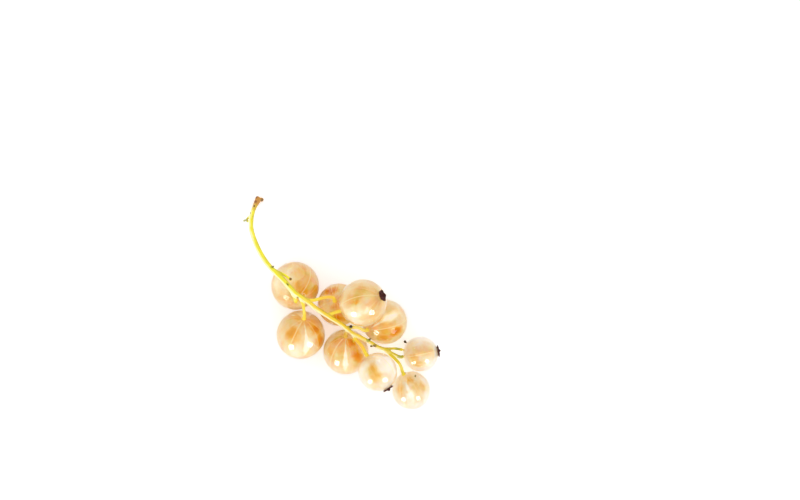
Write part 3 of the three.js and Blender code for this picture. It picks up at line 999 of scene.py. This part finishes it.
def stem(looks, material):
    """The stem with all that grows from it, run together into one surface."""

    def stem_radius(from_root, from_tip):
        share = from_root / (from_root + from_tip)
        even = looks.cut_end_diameter + (looks.tip_diameter - looks.cut_end_diameter) * share
        diameter = even + looks.swelling * math.sin(math.pi * share)
        flare = CUT_END_FLARE * fade(from_root, CUT_END_FLARE_LENGTH)
        head = STALK_HEAD_SWELLING / 2 * fade(from_tip, SWELLING_LENGTH)
        return diameter / 2 + (flare + head) * MM

    def stalk_radius(from_root, from_tip):
        root = STALK_ROOT_SWELLING * fade(from_root, 2 * SWELLING_LENGTH)
        head = STALK_HEAD_SWELLING * fade(from_tip, SWELLING_LENGTH)
        return looks.stalk_diameter / 2 + (root + head) * MM

    main_route = [vector(place) for place in STEM_ROUTE] + stalk_end(FRUITS[STEM_TIP_BERRY - 1])
    grown = [tube(main_route, stem_radius, sides=6)]
    for number, places in STALK_ROUTES.items():
        route = [vector(place) for place in places] + stalk_end(FRUITS[number - 1])
        grown.append(tube(route, stalk_radius, sides=5))
    for stub in BARREN_STALKS:
        route = [vector(place) for place in stub["route"]]
        grown.append(tube(route, lambda *ends: stub["diameter"] / 2 * MM, sides=4))
    for lump in HEEL_LUMPS + BUDS:
        bpy.ops.mesh.primitive_ico_sphere_add(
            subdivisions=3, radius=lump["radius"] * MM, location=vector(lump["centre"]))
        apply_place()
        grown.append(bpy.context.object)
    piece = join(grown, "stem_grown")
    apply_modifier(piece, "REMESH", mode="VOXEL", voxel_size=STEM_GRAIN * MM)
    apply_modifier(piece, "SMOOTH", factor=0.5, iterations=3)
    crumple(piece, 1.2 * MM, 0.05 * MM, "stem_dents")
    rest_on_surface(piece)
    mark_grain(piece, main_route)
    finish_piece(piece, material, "stem", "stem")


def mark_grain(piece, route):
    """Store how far along, around and away from the main stem each point lies (mm, radians, mm)."""
    samples = []
    run = distances(route)
    for (start, end), base in zip(zip(route, route[1:]), run):
        steps = 8
        for step in range(steps):
            samples.append((start.lerp(end, step / steps), end - start,
                            base + (end - start).length * step / steps))
    tree = kdtree.KDTree(len(samples))
    for index, (place, _, _) in enumerate(samples):
        tree.insert(place, index)
    tree.balance()
    grain = piece.data.attributes.new("grain", "FLOAT_VECTOR", "POINT")
    for vertex in piece.data.vertices:
        place, index, _ = tree.find(vertex.co)
        _, heading, distance = samples[index]
        offset = turned(heading, Vector((0, 0, 1))).transposed() @ (vertex.co - place)
        around = math.atan2(offset.y, offset.x)
        grain.data[vertex.index].vector = (distance / MM, around, offset.length / MM)


def bract(name, place, leaf, material):
    """A dry scale leaf: rooted in the stem, its face up and its tip curled."""
    turn = turned(Vector(place["tip"]), Vector(place["face"]))
    copy_to(leaf, vector(place["root"]), turn)
    piece = named(name)
    crumple(piece, 0.4 * MM, 0.08 * MM, name)
    finish_piece(piece, material, "stem")


def bract_pattern():
    """One scale leaf at the origin, its root there, its tip towards Z and its face towards X."""
    bpy.ops.mesh.primitive_uv_sphere_add(segments=32, ring_count=24, radius=0.5 * MM)
    piece = named("leaf")
    pick(piece, lambda place: True)
    bpy.ops.transform.resize(value=(BRACT_THICKNESS, BRACT_WIDTH, BRACT_LENGTH))
    bpy.ops.transform.translate(value=(0, 0, 0.25 * BRACT_LENGTH * MM))
    leave_edit()
    tip = max(vertex.co.z for vertex in piece.data.vertices)
    pick(piece, lambda place: place.z > 0.97 * tip)
    bpy.ops.transform.translate(value=(0.12 * MM, 0, 0.0), **soft(0.5 * MM))
    leave_edit()
    return piece


# ---- Camera, lights and surface ----

def camera():
    """The camera straight above, looking down."""
    bpy.ops.object.camera_add(location=vector(CAMERA_PLACE), rotation=(0, 0, 0))
    eye = bpy.context.object
    eye.name = "camera"
    eye.data.sensor_width = SENSOR_WIDTH
    reach = CAMERA_PLACE[2] - CAMERA_VIEW_HEIGHT
    eye.data.lens = SENSOR_WIDTH * reach / CAMERA_VIEW_WIDTH
    bpy.context.scene.camera = eye


def lamp(name, way, radiance):
    """A lamp, drawn out upwards, that shines back along the way it is seen from the sprig."""
    toward = Vector(way).normalized()
    bpy.ops.object.light_add(type="AREA", location=toward * LAMP_DISTANCE)
    light = bpy.context.object
    light.name = name
    light.rotation_euler = toward.to_track_quat("Z", "Y").to_euler()
    light.data.shape = "ELLIPSE"
    light.data.size = 2 * LAMP_RADIUS
    light.data.size_y = 3 * LAMP_RADIUS
    light.data.energy = radiance * math.pi * math.pi * 1.5 * LAMP_RADIUS ** 2
    light.visible_diffuse = False
    light.visible_transmission = False


def room(strength):
    """Even white light all round."""
    world = bpy.data.worlds.new("soft_room")
    world.use_nodes = True
    bpy.context.scene.world = world
    background = world.node_tree.nodes["Background"]
    background.inputs["Color"].default_value = (1.0, 1.0, 1.0, 1.0)
    background.inputs["Strength"].default_value = strength
    bpy.context.scene.view_settings.view_transform = "Standard"


# ---- The operators, one for each piece or group of like pieces ----

class CURRANTS_OT_stage(bpy.types.Operator):
    """Set up the camera, the two lamps, the room's light and the white surface"""
    bl_idname = "currants.stage"
    bl_label = "Surface, light and camera"

    def execute(self, context):
        looks = context.scene.currant_stage
        camera()
        bpy.ops.mesh.primitive_plane_add(size=SURFACE_SIZE, location=(0, 0, 0))
        plane = named("white_surface")
        plane.data.materials.append(surface_material(looks))
        for name, way in LAMPS.items():
            lamp(name, way, looks.lamp_light)
        room(looks.room_light)
        deselect()
        return {"FINISHED"}


class CURRANTS_OT_skins(bpy.types.Operator):
    """Make the berries' clear skins"""
    bl_idname = "currants.skins"
    bl_label = "Berry skins"

    def execute(self, context):
        for fruit in FRUITS:
            skin(fruit, context.scene.currant_berries)
        return {"FINISHED"}


class CURRANTS_OT_pulp(bpy.types.Operator):
    """Make the pulp inside each skin"""
    bl_idname = "currants.pulp"
    bl_label = "Pulp"

    def execute(self, context):
        for fruit in FRUITS:
            pulp(fruit, context.scene.currant_berries)
        return {"FINISHED"}


class CURRANTS_OT_seeds(bpy.types.Operator):
    """Model one seed and sink copies of it in the pulp"""
    bl_idname = "currants.seeds"
    bl_label = "Seeds"

    def execute(self, context):
        looks = context.scene.currant_berries
        pattern = seed_pattern(looks)
        for fruit in FRUITS:
            seeds(fruit, pattern, looks)
        remove(pattern)
        return {"FINISHED"}


class CURRANTS_OT_veins(bpy.types.Operator):
    """Run the strands under each skin"""
    bl_idname = "currants.veins"
    bl_label = "Veins"

    def execute(self, context):
        looks = context.scene.currant_berries
        material = vein_material(looks)
        for fruit in FRUITS:
            veins(fruit, looks, material)
        return {"FINISHED"}


class CURRANTS_OT_calyxes(bpy.types.Operator):
    """Model one dried calyx and set a copy of it on each berry"""
    bl_idname = "currants.calyxes"
    bl_label = "Dried calyxes"

    def execute(self, context):
        looks = context.scene.currant_calyxes
        material = dry_material("dried_calyx", looks.fold, looks.ridge, 0.35 * MM)
        pattern = calyx_pattern(looks)
        for fruit in FRUITS:
            calyx(fruit, pattern, material)
        remove(pattern)
        return {"FINISHED"}


class CURRANTS_OT_stem(bpy.types.Operator):
    """Grow the stem with its stalks, stubs, buds and torn heel"""
    bl_idname = "currants.stem"
    bl_label = "Stem"

    def execute(self, context):
        looks = context.scene.currant_stem
        stem(looks, stem_material(looks))
        return {"FINISHED"}


class CURRANTS_OT_bracts(bpy.types.Operator):
    """Model one dry scale leaf and set a copy of it at each root"""
    bl_idname = "currants.bracts"
    bl_label = "Scale leaves"

    def execute(self, context):
        looks = context.scene.currant_stem
        material = dry_material("bract", looks.bract, colour(BRACT_RIDGE), 0.3 * MM)
        leaf = bract_pattern()
        for number, place in enumerate(BRACTS, start=1):
            bract(f"bract_{number}", place, leaf, material)
        activate(leaf)
        bpy.ops.transform.resize(value=(FLECK_SHARE,) * 3)
        apply_place()
        bract("fleck", FLECK, leaf, material)
        remove(leaf)
        return {"FINISHED"}


class CURRANTS_PT_sprig(bpy.types.Panel):
    """The sprig's sizes and colours, and the steps that make it"""
    bl_idname = "CURRANTS_PT_sprig"
    bl_label = "Pale currant sprig"
    bl_space_type = "VIEW_3D"
    bl_region_type = "UI"
    bl_category = "Currants"

    def draw(self, context):
        for title, group, operators in SECTIONS:
            box = self.layout.box()
            box.label(text=title)
            looks = getattr(context.scene, group)
            for name in looks.__annotations__:
                box.prop(looks, name)
            for operator in operators:
                box.operator(operator.bl_idname)


SECTIONS = [
    ("Stage", "currant_stage", [CURRANTS_OT_stage]),
    ("Berries", "currant_berries",
     [CURRANTS_OT_skins, CURRANTS_OT_pulp, CURRANTS_OT_seeds, CURRANTS_OT_veins]),
    ("Calyxes", "currant_calyxes", [CURRANTS_OT_calyxes]),
    ("Stem", "currant_stem", [CURRANTS_OT_stem, CURRANTS_OT_bracts]),
]
GROUPS = {
    "currant_stage": StageLooks, "currant_berries": BerryLooks, "currant_calyxes": CalyxLooks,
    "currant_stem": StemLooks,
}
OPERATORS = [operator for _, _, operators in SECTIONS for operator in operators]


def register():
    for kind in [*GROUPS.values(), *OPERATORS, CURRANTS_PT_sprig]:
        bpy.utils.register_class(kind)
    for name, kind in GROUPS.items():
        setattr(bpy.types.Scene, name, PointerProperty(type=kind))


def unregister():
    for name in GROUPS:
        delattr(bpy.types.Scene, name)
    for kind in reversed([*GROUPS.values(), *OPERATORS, CURRANTS_PT_sprig]):
        bpy.utils.unregister_class(kind)


def main():
    register()
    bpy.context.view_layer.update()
    deselect()
    bpy.ops.currants.stage()
    bpy.ops.currants.skins()
    bpy.ops.currants.pulp()
    bpy.ops.currants.seeds()
    bpy.ops.currants.veins()
    bpy.ops.currants.calyxes()
    bpy.ops.currants.stem()
    bpy.ops.currants.bracts()


if __name__ == "__main__":
    main()
